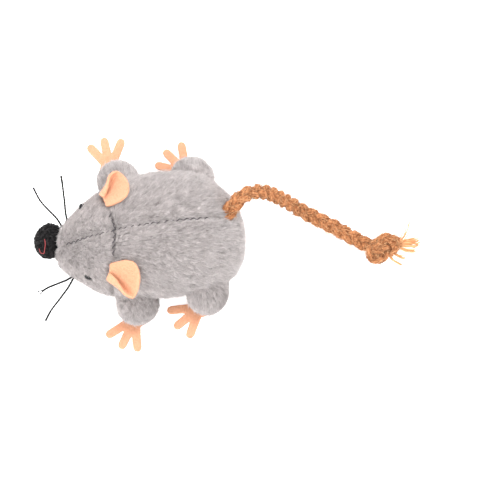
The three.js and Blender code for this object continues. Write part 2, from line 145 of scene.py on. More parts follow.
def new_object(name, vertices, faces, materials, material_index=None):
    """A mesh object from an array of vertices and an array of faces with as many corners each."""
    mesh = bpy.data.meshes.new(name)
    vertices = np.ascontiguousarray(vertices, np.float32)
    faces = np.ascontiguousarray(faces, np.int32)
    mesh.vertices.add(len(vertices))
    mesh.vertices.foreach_set("co", vertices.ravel())
    mesh.loops.add(faces.size)
    mesh.loops.foreach_set("vertex_index", faces.ravel())
    mesh.polygons.add(len(faces))
    mesh.polygons.foreach_set("loop_start", np.arange(len(faces), dtype=np.int32) * faces.shape[1])
    for material in materials:
        mesh.materials.append(material)
    if material_index is not None:
        mesh.polygons.foreach_set("material_index", np.ascontiguousarray(material_index, np.int32))
    shade_smooth(mesh)
    mesh.update(calc_edges=True)
    return linked(name, mesh)


def add_smoothing(piece, times):
    modifier = piece.modifiers.new("smooth", "SMOOTH")
    modifier.factor = 0.5
    modifier.iterations = times


def add_remesh(piece, voxel):
    modifier = piece.modifiers.new("voxels", "REMESH")
    modifier.mode = "VOXEL"
    modifier.voxel_size = voxel


def apply_modifiers(piece):
    graph = bpy.context.evaluated_depsgraph_get()
    mesh = bpy.data.meshes.new_from_object(piece.evaluated_get(graph))
    piece.modifiers.clear()
    piece.data = mesh


def vertices_of(mesh):
    co = np.zeros(len(mesh.vertices) * 3, np.float32)
    mesh.vertices.foreach_get("co", co)
    return co.reshape(-1, 3).astype(float)


def set_vertices(mesh, vertices):
    mesh.vertices.foreach_set("co", np.ascontiguousarray(vertices, np.float32).ravel())
    mesh.update()


def normals_of(mesh):
    normals = np.zeros(len(mesh.vertices) * 3, np.float32)
    mesh.vertices.foreach_get("normal", normals)
    return normals.reshape(-1, 3).astype(float)


def triangles_of(mesh):
    """The mesh's triangles, and the face that each one is part of."""
    mesh.calc_loop_triangles()
    corners = np.zeros(len(mesh.loop_triangles) * 3, np.int32)
    owners = np.zeros(len(mesh.loop_triangles), np.int32)
    mesh.loop_triangles.foreach_get("vertices", corners)
    mesh.loop_triangles.foreach_get("polygon_index", owners)
    return corners.reshape(-1, 3), owners


def sideways(directions):
    """A way across each direction, level where the direction isn't upright."""
    side = np.cross(directions, UP)
    upright = np.linalg.norm(side, axis=1) < 1e-3
    side[upright] = np.cross(directions[upright], [1.0, 0.0, 0.0])
    return side


def tubes(paths, radii, sides):
    """Closed tubes round many lines at once: paths is (count, steps, 3), radii (count, steps)."""
    count, steps, _ = paths.shape
    tangents = unit(np.gradient(paths, axis=1))
    side = sideways(tangents[:, 0])
    rings = np.zeros((count, steps, sides, 3))
    angles = 2 * np.pi * np.arange(sides) / sides
    for k in range(steps):
        tangent = tangents[:, k]
        side = unit(side - (side * tangent).sum(1, keepdims=True) * tangent)
        over = np.cross(side, tangent)
        ring = (
            np.cos(angles)[None, :, None] * side[:, None, :]
            + np.sin(angles)[None, :, None] * over[:, None, :]
        )
        rings[:, k] = paths[:, k, None, :] + radii[:, k, None, None] * ring
    first = (np.arange(count) * steps * sides)[:, None, None]
    ring_start = first + (np.arange(steps - 1) * sides)[None, :, None]
    around = np.arange(sides)[None, None, :]
    onward = (around + 1) % sides
    a, b = ring_start + around, ring_start + onward
    c, d = b + sides, a + sides
    walls = np.concatenate([np.stack([a, b, c], -1), np.stack([a, c, d], -1)]).reshape(-1, 3)
    fan = np.arange(1, sides - 1)
    start = first[:, :, 0] + np.zeros((1, sides - 2), int)
    end = start + (steps - 1) * sides
    caps = [
        np.stack([start, start + fan + 1, start + fan], -1).reshape(-1, 3),
        np.stack([end, end + fan, end + fan + 1], -1).reshape(-1, 3),
    ]
    return rings.reshape(-1, 3), np.concatenate([walls, *caps])


def hairs(roots, middles, tips, radius):
    """Closed, pointed, three-sided hairs, each with one bend, and how many triangles one has."""
    count = len(roots)
    along = unit(tips - roots)
    side = unit(sideways(along))
    over = np.cross(side, along)
    angles = 2 * np.pi * np.arange(3) / 3
    ring = np.cos(angles)[None, :, None] * side[:, None] + np.sin(angles)[None, :, None] * over[:, None]
    low = roots[:, None] + radius[:, None, None] * ring
    high = middles[:, None] + 0.8 * radius[:, None, None] * ring
    vertices = np.concatenate([low, high, tips[:, None]], axis=1).reshape(-1, 3)
    one = [[0, 2, 1]]
    for i in range(3):
        j = (i + 1) % 3
        one += [[i, j, 3 + j], [i, 3 + j, 3 + i], [3 + i, 3 + j, 6]]
    faces = (np.array(one)[None] + 7 * np.arange(count)[:, None, None]).reshape(-1, 3)
    return vertices, faces, len(one)


# ---- camera, at the height of someone looking down at the toy --------------------------
AZIMUTH, ELEVATION = math.radians(83.4), math.radians(78)
DISTANCE = 0.9
FIELD_WIDTH = 0.216
SENSOR_WIDTH = 36  # in millimetres
LOOK_BEHIND, LOOK_ABOVE = 33.3 * MM, 1.35 * MM  # from the belly's middle to the picture's

back = Vector(
    (
        math.sin(AZIMUTH) * math.cos(ELEVATION),
        -math.cos(AZIMUTH) * math.cos(ELEVATION),
        math.sin(ELEVATION),
    )
)
right = Vector((0, 0, 1)).cross(back).normalized()
camera_data = bpy.data.cameras.new("camera")
camera_data.sensor_width = SENSOR_WIDTH
camera_data.lens = SENSOR_WIDTH * DISTANCE / FIELD_WIDTH
camera_data.clip_start, camera_data.clip_end = 0.05, 10
camera = linked("camera", camera_data)
camera.location = right * LOOK_BEHIND + back.cross(right) * LOOK_ABOVE + back * DISTANCE
camera.rotation_mode = "QUATERNION"
camera.rotation_quaternion = (-back).to_track_quat("-Z", "Y")
bpy.context.scene.camera = camera


# ---- materials ------------------------------------------------------------------------
RAMP_ENDS = 0.32, 0.68  # the values of fine noise between which the colours lie


def plain(name, colour, roughness=0.8, sheen=0.0):
    material = bpy.data.materials.new(name)
    material.use_nodes = True
    shader = material.node_tree.nodes["Principled BSDF"]
    shader.inputs["Base Color"].default_value = (*colour, 1)
    shader.inputs["Roughness"].default_value = roughness
    shader.inputs["Specular IOR Level"].default_value = 0.25
    shader.inputs["Sheen Weight"].default_value = sheen
    shader.inputs["Sheen Roughness"].default_value = 0.4
    return material


def mottled(name, colours, scale, roughness=0.9, bump=0.3, depth=0.1 * MM, sheen=0.0):
    """Colours spread by fine noise over the surface, with a bump from the same noise."""
    material = plain(name, colours[0], roughness, sheen)
    tree = material.node_tree
    shader = tree.nodes["Principled BSDF"]
    place = tree.nodes.new("ShaderNodeTexCoord")
    grain = tree.nodes.new("ShaderNodeTexNoise")
    grain.inputs["Scale"].default_value = scale
    grain.inputs["Detail"].default_value = 5
    grain.inputs["Roughness"].default_value = 0.65
    ramp = tree.nodes.new("ShaderNodeValToRGB")
    first, last = RAMP_ENDS
    ramp.color_ramp.elements[0].position = first
    ramp.color_ramp.elements[1].position = last
    ramp.color_ramp.elements[0].color = (*colours[0], 1)
    ramp.color_ramp.elements[1].color = (*colours[-1], 1)
    for i, colour in enumerate(colours[1:-1], 1):
        place_on_ramp = first + (last - first) * i / (len(colours) - 1)
        ramp.color_ramp.elements.new(place_on_ramp).color = (*colour, 1)
    relief = tree.nodes.new("ShaderNodeBump")
    relief.inputs["Strength"].default_value = bump
    relief.inputs["Distance"].default_value = depth
    tree.links.new(place.outputs["Object"], grain.inputs["Vector"])
    tree.links.new(grain.outputs["Fac"], ramp.inputs["Fac"])
    tree.links.new(ramp.outputs["Color"], shader.inputs["Base Color"])
    tree.links.new(grain.outputs["Fac"], relief.inputs["Height"])
    tree.links.new(relief.outputs["Normal"], shader.inputs["Normal"])
    return material


def shades(name, dark, light, count, roughness=0.7, sheen=0.0):
    """Plain materials in even steps from dark to light."""
    made = []
    for i in range(count):
        mix = i / (count - 1)
        colour = [d + (l - d) * mix for d, l in zip(dark, light)]
        made.append(plain(f"{name}_{i}", colour, roughness, sheen))
    return made


PILE_DARK, PILE_LIGHT = (0.28, 0.248, 0.243), (0.71, 0.655, 0.645)
pile_shades = shades("pile", PILE_DARK, PILE_LIGHT, 6, roughness=0.65, sheen=0.3)
# The backing is the plush's own cloth, but its grey is darker than the pile's: painted shade for the gaps
# between the clumps.
backing_painted_shade = mottled("plush_backing_painted_shade", [(0.28, 0.25, 0.25), (0.42, 0.38, 0.38)], 900, sheen=0.2)
FELT = [(0.58, 0.275, 0.16), (0.66, 0.33, 0.197), (0.71, 0.37, 0.227)]
felt = mottled("felt", FELT, 1300, roughness=0.95, bump=0.5, depth=0.2 * MM, sheen=0.3)
felt_fuzz = shades("felt_fuzz", (0.66, 0.34, 0.21), (0.80, 0.48, 0.32), 3, 0.8)
JUTE = [(0.13, 0.045, 0.016), (0.42, 0.17, 0.068), (0.62, 0.30, 0.14)]
jute = mottled("jute", JUTE, 1100, roughness=0.85, bump=0.7, depth=0.25 * MM)
jute_fibres = shades("jute_fibre", (0.22, 0.08, 0.03), (0.76, 0.44, 0.23), 4, 0.7)
fringe_shades = shades("fringe_fibre", (0.58, 0.27, 0.115), (0.78, 0.44, 0.22), 3, 0.7)
wool_core = mottled("wool_core", [(0.004, 0.004, 0.004), (0.012, 0.011, 0.012)], 1500)
wool_shades = shades("wool", (0.002, 0.002, 0.002), (0.014, 0.012, 0.013), 3, 0.7, sheen=0.03)
bead = mottled("bead", [(0.003, 0.003, 0.003), (0.006, 0.006, 0.007)], 300, roughness=0.3, bump=0.02)
waxed_cord = mottled("waxed_cord", [(0.002, 0.002, 0.002), (0.008, 0.008, 0.009)], 2500, roughness=0.7)
seam_thread = mottled("seam_thread", [(0.045, 0.041, 0.044), (0.13, 0.12, 0.125)], 3000)
red_thread = mottled("red_thread", [(0.16, 0.02, 0.025), (0.42, 0.09, 0.09)], 3000, roughness=0.6)
fibre_fill = mottled("fibre_fill", [(0.78, 0.76, 0.72), (0.92, 0.91, 0.88)], 500)


# ---- the tail's rope ------------------------------------------------------------------
ROPE_DIAMETER = 6.6 * MM
TAIL_ROUTE = [
    (-0.0004, 0.0215, 0.0285),
    (-0.0012, 0.0246, 0.0314),
    (-0.0025, 0.0278, 0.0340),
    (-0.0046, 0.0304, 0.0358),
    (-0.0074, 0.0334, 0.0365),
    (-0.0096, 0.0368, 0.0359),
    (-0.0110, 0.0410, 0.0334),
    (-0.0116, 0.0450, 0.0294),
    (-0.0113, 0.0489, 0.0242),
    (-0.0104, 0.0530, 0.0174),
    (-0.0090, 0.0572, 0.0110),
    (-0.0068, 0.0616, 0.0062),
    (-0.0042, 0.0660, 0.0039),
    (-0.0014, 0.0704, 0.0035),
    (0.0018, 0.0752, 0.0035),
    (0.0058, 0.0806, 0.0035),
    (0.0092, 0.0854, 0.0037),
    (0.0124, 0.0896, 0.0042),
]
BRAID_LENGTH = 16.5 * MM  # along the rope, until a strand is back where it began
STRAND_RADIUS = 0.235  # as a share of the rope's width
YARNS = 7  # wound round one more in the middle of each strand
YARN_RADIUS, YARN_REACH, YARN_DRIFT = 0.36, 0.68, 0.11  # as shares of the strand's radius
PLY_RADIUS, PLY_REACH = 0.68, 0.42  # as shares of the yarn's radius
YARN_TURN, PLY_TURN = 30 * MM, 5 * MM  # along the rope, for one turn
SWAY, LIFT = 0.28, 0.2  # of a strand from the rope's middle, as shares of the rope's width
ROPE_FLARE = 0.22  # the braid is this much wider where it leaves the plush

# An overhand knot in millimetres: in from the rope, over, round, under itself and out.
KNOT_ROUTE = [
    (12.4, 89.6, 4.2),
    (13.0, 93.5, 6.5),
    (11.0, 97.0, 8.0),
    (12.0, 101.0, 6.8),
    (15.2, 101.0, 4.6),
    (16.0, 97.5, 3.6),
    (18.6, 94.0, 4.2),
    (17.8, 90.9, 5.6),
    (14.9, 91.4, 7.0),
    (14.6, 95.3, 7.4),
    (12.8, 98.6, 5.2),
    (13.0, 102.5, 4.4),
    (13.4, 104.4, 4.4),
]
KNOT_WIDTH = 5.4 * MM

# The loose end's locks in millimetres: where each starts, passes and ends, and its fibres.
FRINGE_LOCKS = [
    ((13.0, 103.4, 4.8), (11.9, 108.0, 4.6), (12.3, 112.4, 3.6), 10),
    ((13.3, 103.6, 4.4), (13.3, 108.4, 3.9), (13.8, 113.2, 2.9), 12),
    ((13.6, 103.4, 4.2), (14.8, 108.2, 3.3), (15.2, 112.8, 2.3), 12),
    ((13.9, 103.2, 3.8), (16.2, 107.0, 2.4), (17.0, 111.8, 1.5), 9),
    ((12.5, 103.0, 6.0), (10.3, 106.3, 6.8), (3.9, 109.4, 5.6), 6),
    ((16.4, 100.4, 3.4), (18.6, 103.2, 2.0), (19.2, 105.8, 1.2), 9),
    ((17.6, 99.0, 3.2), (20.6, 101.6, 2.0), (22.2, 105.0, 0.9), 8),
]


def framed(line):
    """How far along a line each point is, and the ways to its side and over it."""
    along = np.concatenate([[0], np.cumsum(np.linalg.norm(np.diff(line, axis=0), axis=1))])
    tangent = unit(np.gradient(line, axis=0))
    side = unit(np.cross(tangent, UP))
    return along, side, np.cross(side, tangent)


def braid(path, width, flare):
    """The middle lines of a three-strand braid of that width along a path, and their radius."""
    line = evenly(path, 0.5 * MM)
    along, side, over = framed(line)
    strand_radius = STRAND_RADIUS * width
    pitch = BRAID_LENGTH * width / ROPE_DIAMETER
    widening = 1 + flare * np.exp(-along / width)
    made = []
    for k in range(3):
        turn = 2 * np.pi * (along / pitch + k / 3)
        sway = SWAY * width * np.sin(turn) * widening
        lift = LIFT * width * np.sin(2 * turn)
        made.append(line + sway[:, None] * side + lift[:, None] * over)
    return np.array(made), strand_radius


def wound(line, reach, pitch, count, phase=0.0):
    """Lines that wind round a middle line at that reach, once in every pitch."""
    along, side, over = framed(line)
    turns = [2 * np.pi * (along / pitch + k / count) + phase for k in range(count)]
    return [line + reach * (np.cos(t)[:, None] * side + np.sin(t)[:, None] * over) for t in turns]


def rope_object(name, path, width, flare=0.0):
    """A braid whose strands are bundles of two-ply yarns, each a little uneven."""
    rng = np.random.default_rng(5)
    strands, strand_radius = braid(path, width, flare)
    yarn_radius = YARN_RADIUS * strand_radius
    plies = []
    for strand in strands:
        bundle = wound(strand, YARN_REACH * strand_radius, YARN_TURN, YARNS, rng.uniform(0, 6))
        for yarn in [strand, *bundle]:
            drift = [ripple(yarn, 7 * MM, rng.integers(1000)) for _ in range(3)]
            yarn = yarn + YARN_DRIFT * strand_radius * np.stack(drift, axis=1)
            plies += wound(yarn, PLY_REACH * yarn_radius, PLY_TURN, 2, rng.uniform(0, 6))
    radii = np.full((len(plies), strands.shape[1]), PLY_RADIUS * yarn_radius)
    radii *= rng.uniform(0.85, 1.2, (len(plies), 1))
    vertices, faces = tubes(np.array(plies), radii, 6)
    return new_object(name, vertices, faces, [jute]), strands, strand_radius


def stray_fibres(name, strands, strand_radius, count, reach, seed):
    """Fine fibres on the strands: most lie along them, some have worked loose."""
    rng = np.random.default_rng(seed)
    which = rng.integers(0, len(strands), count)
    where = rng.integers(1, strands.shape[1] - 1, count)
    middle = strands[which, where]
    tangent = unit(strands[which, where + 1] - strands[which, where - 1])
    away = rng.normal(size=(count, 3))
    away = unit(away - (away * tangent).sum(1, keepdims=True) * tangent)
    ahead = tangent * np.where(rng.random(count) < 0.5, 1, -1)[:, None]
    loose = rng.random((count, 1)) ** 2.5
    length = reach * rng.uniform(0.4, 1, (count, 1))
    stray = unit(rng.normal(size=(count, 3)))
    roots = middle + away * strand_radius
    middles = roots + 0.5 * length * unit(ahead + 1.1 * loose * away)
    tips = middles + 0.5 * length * unit(ahead + 0.5 * loose * away + (0.15 + loose) * stray)
    for line in (middles, tips):
        keep_off_floor(line, 0.2 * MM)
    vertices, faces, each = hairs(roots, middles, tips, rng.uniform(0.05, 0.1, count) * MM)
    index = np.repeat(rng.integers(0, len(jute_fibres), count), each)
    return new_object(name, vertices, faces, jute_fibres, index)


def frayed_end():
    """The loose end beyond the knot, in locks that wave and open out."""
    rng = np.random.default_rng(21)
    steps = np.linspace(0, 1, 12)
    paths = []
    for start, past, end, count in FRINGE_LOCKS:
        start, past, end = (np.array(point) * MM for point in (start, past, end))
        bend = 2 * past - (start + end) / 2
        s = steps[:, None]
        lock = (1 - s) ** 2 * start + 2 * s * (1 - s) * bend + s**2 * end
        for _ in range(count):
            ease = rng.normal(size=3) * [0.45, 0.3, 0.3] * MM
            wave = 0.25 * MM * np.sin(2 * np.pi * (steps * rng.uniform(0.8, 1.6) + rng.random()))
            line = start + (lock - start) * rng.uniform(0.78, 1.06) + (0.6 + s) * ease
            paths.append(line + wave[:, None] * unit(rng.normal(size=3)))
    paths = np.array(paths)
    keep_off_floor(paths, 0.3 * MM)
    radii = rng.uniform(0.17, 0.34, (len(paths), 1)) * MM * (1 - 0.3 * steps)
    vertices, faces = tubes(paths, radii, 5)
    fibre = faces[:, 0] // (len(steps) * 5)
    return new_object("tail_frayed_end", vertices, faces, fringe_shades, fibre % len(fringe_shades))


def of_the_tail(piece, replaced=None):
    if replaced:
        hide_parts(replaced)
    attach(piece, "tail")
    return piece


tail_path = spline(TAIL_ROUTE, 0.5 * MM)
knot_path = spline(np.array(KNOT_ROUTE) * MM, 0.5 * MM)
rope, rope_strands, rope_radius = rope_object("tail_braid", tail_path, ROPE_DIAMETER, ROPE_FLARE)
knot, knot_strands, knot_radius = rope_object("tail_overhand_knot", knot_path, KNOT_WIDTH)
of_the_tail(rope, "tail_rope")
tail_pieces = [
    of_the_tail(knot, "tail_knot"),
    of_the_tail(frayed_end(), "tail_fringe"),
    of_the_tail(stray_fibres("tail_stray_fibres", rope_strands, rope_radius, 4000, 4 * MM, 7)),
    of_the_tail(stray_fibres("knot_stray_fibres", knot_strands, knot_radius, 2600, 3.4 * MM, 11)),
]


# ---- the plush form -------------------------------------------------------------------
VOXEL = 0.85 * MM
BELLY_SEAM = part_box("belly_panel")[1].z
NECK_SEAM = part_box("head_left")[1].y  # in the middle of the back
NECK_SLANT = math.radians(12)  # the neck seam runs forward at this angle on each side
SEAM_FOOT = 14 * MM  # the back seam's groove and the parting of the pile start at this height
BACK_SEAM_END = 28 * MM
MOST_DRAWN_IN = 2.5 * MM  # the furthest that a smoothed point is put back
HEAD_LEAN = 0.5 * MM  # to the mouse's left
LEG_INSIDE = 20 * MM  # only skin further than this from the middle can belong to a leg


def behind_neck_seam(x, y):
    """How far a point lies behind the neck seam."""
    return (y - NECK_SEAM + abs(x) * math.tan(NECK_SLANT)) * math.cos(NECK_SLANT)


def hull(points):
    """The convex hull of some points, as vertices and triangles."""
    shell = bmesh.new()
    for p in points:
        shell.verts.new(p)
    made = bmesh.ops.convex_hull(shell, input=shell.verts)
    spare = [g for g in made["geom_interior"] + made["geom_unused"] if isinstance(g, bmesh.types.BMVert)]
    bmesh.ops.delete(shell, geom=list(set(spare)), context="VERTS")
    bmesh.ops.recalc_face_normals(shell, faces=shell.faces)
    shell.verts.index_update()
    vertices = np.array([v.co[:] for v in shell.verts])
    faces = np.array([[v.index for v in f.verts] for f in shell.faces])
    shell.free()
    return vertices, faces


def points_of(*names):
    return np.concatenate([vertices_of(nodes[name].data) for name in names])


body_hull = hull(points_of(*PANELS))
leg_hulls = {leg: hull(points_of(f"leg_{leg}", f"leg_stuffing_{leg}")) for leg in LEGS}
joint_places = {joint["name"]: np.array(joint["pos_m"]) for joint in frame["joints"]}
leg_roots = {leg: joint_places[f"swing_{leg}"] for leg in LEGS}
leg_ends = {}
for leg in LEGS:
    reach = leg_hulls[leg][0] - leg_roots[leg]
    far = mean_of_least(reach, -np.abs(reach[:, 0]))
    leg_ends[leg] = leg_roots[leg] + far * np.array([1, 1, 0])


def joined_hulls():
    vertices, faces, start = [], [], 0
    for v, f in [body_hull, *leg_hulls.values()]:
        vertices.append(v)
        faces.append(f + start)
        start += len(v)
    return np.concatenate(vertices), np.concatenate(faces)


# The skin wears the backing, whose darker grey is painted shade in the gaps between the clumps.
skin = new_object("skin", *joined_hulls(), [backing_painted_shade])
add_remesh(skin, VOXEL)
add_smoothing(skin, 24)
apply_modifiers(skin)


def bell(distance, width):
    return np.exp(-((distance / width) ** 2))


def seam_groove(points):
    """How deep the seams pull the plush in at each point."""
    x, y, z = points.T
    top = smoothstep(z, SEAM_FOOT, 22 * MM) * (1 - smoothstep(y, 23 * MM, BACK_SEAM_END))
    middle = 1.5 * MM * bell(x, 1.2 * MM) * top
    neck = 1.1 * MM * bell(behind_neck_seam(x, y), 1.4 * MM) * smoothstep(z, 8 * MM, 16 * MM)
    belly = 0.6 * MM * bell(z - BELLY_SEAM, 1.2 * MM)
    return np.maximum.reduce([middle, neck, belly])


body_tree = BVHTree.FromPolygons(body_hull[0].tolist(), body_hull[1].tolist())
leg_trees = {leg: BVHTree.FromPolygons(v.tolist(), f.tolist()) for leg, (v, f) in leg_hulls.items()}


def is_inside(tree, point):
    place, normal, _, _ = tree.find_nearest(point)
    return (Vector(point) - place).dot(normal) < 0


def let_out(points):
    """Points that the smoothing drew in under the sewn forms, put back on their surface."""
    trees = [body_tree, *leg_trees.values()]
    moved = points.copy()
    for i, point in enumerate(points):
        for tree in trees:
            place, normal, _, _ = tree.find_nearest(point.tolist(), MOST_DRAWN_IN)
            if place is None or (Vector(point) - place).dot(normal) >= 0:
                continue
            if not any(is_inside(other, place) for other in trees if other is not tree):
                moved[i] = place
                break
    return moved


set_vertices(skin.data, let_out(vertices_of(skin.data)))
add_smoothing(skin, 3)
apply_modifiers(skin)

co = vertices_of(skin.data)
normals = normals_of(skin.data)
in_head = smoothstep(-co[:, 1], 20 * MM, 30 * MM)
co[:, 0] += HEAD_LEAN * in_head
inside_body = 1 - smoothstep(np.abs(co[:, 0]), 24 * MM, 29 * MM)
lumps = 0.35 * MM * ripple(co, 22 * MM, 1) + 0.18 * MM * ripple(co, 9 * MM, 2)
flat_belly = smoothstep(co[:, 2], 0.5 * MM, 4 * MM)
co += normals * (flat_belly * (lumps - inside_body * seam_groove(co)))[:, None]
keep_off_floor(co, 0.15 * MM)
set_vertices(skin.data, co)

sewn = bmesh.new()
sewn.from_mesh(skin.data)
neck_slants = [(side * math.sin(NECK_SLANT), math.cos(NECK_SLANT), 0) for side in (-1, 1)]
seam_planes = [((0, 0, 0), (1, 0, 0)), ((0, 0, BELLY_SEAM), (0, 0, 1))]
seam_planes += [((0, NECK_SEAM, 0), slant) for slant in neck_slants]
for point, across in seam_planes:
    everything = sewn.verts[:] + sewn.edges[:] + sewn.faces[:]
    bmesh.ops.bisect_plane(sewn, geom=everything, dist=1e-6, plane_co=point, plane_no=across)
sewn.to_mesh(skin.data)
sewn.free()
skin.data.update()

REGIONS = [*PANELS, *(f"leg_{leg}" for leg in LEGS)]


def region_of(point):
    """The sewn piece that this point of the plush belongs to."""
    if abs(point.x) > LEG_INSIDE:
        body_distance = body_tree.find_nearest(point)[3]
        for leg in LEGS:
            if leg_trees[leg].find_nearest(point)[3] < body_distance:
                return f"leg_{leg}"
    if point.z < BELLY_SEAM:
        return "belly_panel"
    part = "head" if behind_neck_seam(point.x, point.y) < 0 else "back"
    return f"{part}_left" if point.x > 0 else f"{part}_right"


regions = np.array([REGIONS.index(region_of(face.center)) for face in skin.data.polygons])


def blend_over_leg(piece):
    """Bakes the piece's placing into its mesh."""
    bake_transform(piece)


def move_with_region(piece, region):
    if region.startswith("leg_"):
        blend_over_leg(piece)
    else:
        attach(piece, "body")


def plush_piece(region):
    """One sewn piece of the plush, as cloth with a thickness."""
    piece = linked(f"plush_{region}", skin.data.copy())
    shell = bmesh.new()
    shell.from_mesh(piece.data)
    shell.faces.ensure_lookup_table()
    others = [shell.faces[i] for i in np.where(regions != REGIONS.index(region))[0]]
    bmesh.ops.delete(shell, geom=others, context="FACES")
    shell.to_mesh(piece.data)
    shell.free()
    wall = piece.modifiers.new("cloth", "SOLIDIFY")
    wall.thickness = 1.1 * MM
    wall.offset = -1
    apply_modifiers(piece)
    shade_smooth(piece.data)
    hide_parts(region)
    move_with_region(piece, region)


for region in REGIONS:
    plush_piece(region)


# ---- the pile -------------------------------------------------------------------------
NOSE_CENTRE = np.array(sum(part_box("nose"), Vector()) / 2)
NOSE_RADII = np.array([7.8, 6.6, 6.8]) * MM
NOSE_TURN = math.radians(-17)
EYES = [np.array(sum(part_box(name), Vector()) / 2) for name in ("eye_left", "eye_right")]
HAIRS_PER_MM2 = 20
CLUMPS_PER_MM2 = 1.1
GUARD_HAIRS = 0.06  # the share of hairs that stand out, longer and paler
MOST_HAIRS = 19900  # in one piece
HAIR_RADIUS = 0.075 * MM
ROOT_DEPTH = 0.3 * MM  # under the skin
PILE_LENGTH = 3.8 * MM
SHORTER_ON_FACE, SHORTER_ON_LEGS = 1.4 * MM, 0.8 * MM
THINNED_UNDERNEATH = 0.25  # the share of hairs left where the skin faces the floor
NOSE_ROOM, EYE_ROOM = 0.1 * MM, 1.3 * MM  # kept free round the nose's surface and an eye's middle
EAR_ROOM = 0.3 * MM  # beyond the tips of the hairs under an ear
EAR_REACH = 4 * MM  # only hairs that start as near to an ear's box are tried against the ear

skin_points = vertices_of(skin.data)
skin_normals = normals_of(skin.data)
skin_triangles, skin_owners = triangles_of(skin.data)
ear_trees = {
    side: BVHTree.FromPolygons(
        vertices_of(nodes[f"ear_{side}"].data).tolist(), triangles_of(nodes[f"ear_{side}"].data)[0].tolist()
    )
    for side in ("left", "right")
}
nose_axes = np.array(
    [
        (math.cos(NOSE_TURN), math.sin(NOSE_TURN), 0),
        (-math.sin(NOSE_TURN), math.cos(NOSE_TURN), 0),
        (0, 0, 1),
    ]
)


def nose_surface(directions, out):
    """Points on the nose's ellipsoid, for directions in its own turned frame."""
    return NOSE_CENTRE + (directions * (NOSE_RADII + out)) @ nose_axes


def from_nose_surface(points):
    """About how far each point is from the nose's surface, less than 0 inside."""
    own = (points - NOSE_CENTRE) @ nose_axes.T
    return (np.linalg.norm(own / NOSE_RADII, axis=1) - 1) * NOSE_RADII.mean()


def from_seams(points):
    """How far each point of the back and head is from the nearest seam on top."""
    x, y, z = points.T
    on_top = (z > SEAM_FOOT) & (y < BACK_SEAM_END)
    return np.where(on_top, np.minimum(np.abs(x), np.abs(behind_neck_seam(x, y))), 1.0)


def pile_flow(points, normals, region):
    """The way the pile lies: back from the nose, down the sides, outwards on the legs."""
    flow = np.tile([0.0, 1.0, -0.25], (len(points), 1))
    flow[:, 0] += 0.38 * np.sign(points[:, 0]) * smoothstep(np.abs(points[:, 0]), 2 * MM, 20 * MM)
    flow[:, 0] -= 0.12
    from_nose = unit(points - NOSE_CENTRE)
    near = (1 - smoothstep(points[:, 1], -40 * MM, -18 * MM))[:, None]
    flow = flow * (1 - near) + (from_nose + [0, 0.35, 0]) * near
    over_nose = (1 - smoothstep(from_nose_surface(points), 1.5 * MM, 4 * MM))[:, None]
    flow = flow * (1 - over_nose) + (-from_nose + [0, -0.6, 0.2]) * over_nose
    rump = smoothstep(points[:, 1], 22 * MM, 34 * MM)[:, None]
    flow = flow * (1 - rump) + np.array([0.0, 0.35, -1.0]) * rump
    if region.startswith("leg_"):
        leg = region.removeprefix("leg_")
        leg_way = unit(leg_ends[leg] - leg_roots[leg])
        outward = leg_way + [0, 0.1, -0.25]
        reach = ((points - leg_roots[leg]) * leg_way).sum(1)
        share = smoothstep(reach, 2 * MM, 9 * MM)[:, None]
        flow = flow * (1 - share) + outward * share
    flow += 0.10 * np.stack([ripple(points, 11 * MM, 40 + k) for k in range(3)], axis=1)
    return unit(flow - (flow * normals).sum(1, keepdims=True) * normals)


def pile_length(points, region):
    """How long the hairs are: shorter on the face and the legs, and half as long in the seams."""
    length = np.full(len(points), PILE_LENGTH)
    length -= SHORTER_ON_FACE * (1 - smoothstep(points[:, 1], -46 * MM, -26 * MM))
    if region.startswith("leg_"):
        length -= SHORTER_ON_LEGS
    return length * (1 - 0.5 * bell(from_seams(points), 1.3 * MM))


def pile_roots(region, rng):
    """Where the hairs of one region start, spread evenly over its skin, and the normals there."""
    own = skin_triangles[regions[skin_owners] == REGIONS.index(region)]
    underneath = skin_normals[own].mean(1)[:, 2] < -0.8
    weight = triangle_areas(skin_points, own) * np.where(underneath, THINNED_UNDERNEATH, 1)
    count = int(weight.sum() / MM**2 * HAIRS_PER_MM2)
    chosen = rng.choice(len(own), count, p=weight / weight.sum())
    u, v = rng.random(count), rng.random(count)
    flip = u + v > 1
    u[flip], v[flip] = 1 - u[flip], 1 - v[flip]
    share = np.stack([1 - u - v, u, v], axis=1)[:, :, None]
    roots = (skin_points[own[chosen]] * share).sum(1)
    normals = unit((skin_normals[own[chosen]] * share).sum(1))
    keep = from_nose_surface(roots) > NOSE_ROOM
    for eye in EYES:
        keep &= np.linalg.norm(roots - eye, axis=1) > EYE_ROOM
    return roots[keep], normals[keep]


def free_of_ears(roots, tips):
    """Which hairs don't run through an ear."""
    free = np.ones(len(roots), bool)
    for side in ("left", "right"):
        low, high = (np.array(corner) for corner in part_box(f"ear_{side}"))
        near = ((roots > low - EAR_REACH) & (roots < high + EAR_REACH)).all(1)
        for k in np.where(near)[0]:
            path = Vector(tips[k] - roots[k])
            hit = ear_trees[side].ray_cast(Vector(roots[k]), path.normalized(), path.length + EAR_ROOM)
            free[k] &= hit[0] is None
    return free


def clumped(roots, rng):
    """Each hair's clump, the way from its root to the clump's, and how many clumps there are."""
    count = len(roots)
    clumps = max(1, int(count * CLUMPS_PER_MM2 / HAIRS_PER_MM2))
    centres = rng.choice(count, clumps, replace=False)
    tree = KDTree(clumps)
    for k, hair in enumerate(centres):
        tree.insert(roots[hair], k)
    tree.balance()
    clump = np.array([tree.find(p)[1] for p in roots])
    return clump, roots[centres[clump]] - roots, clumps


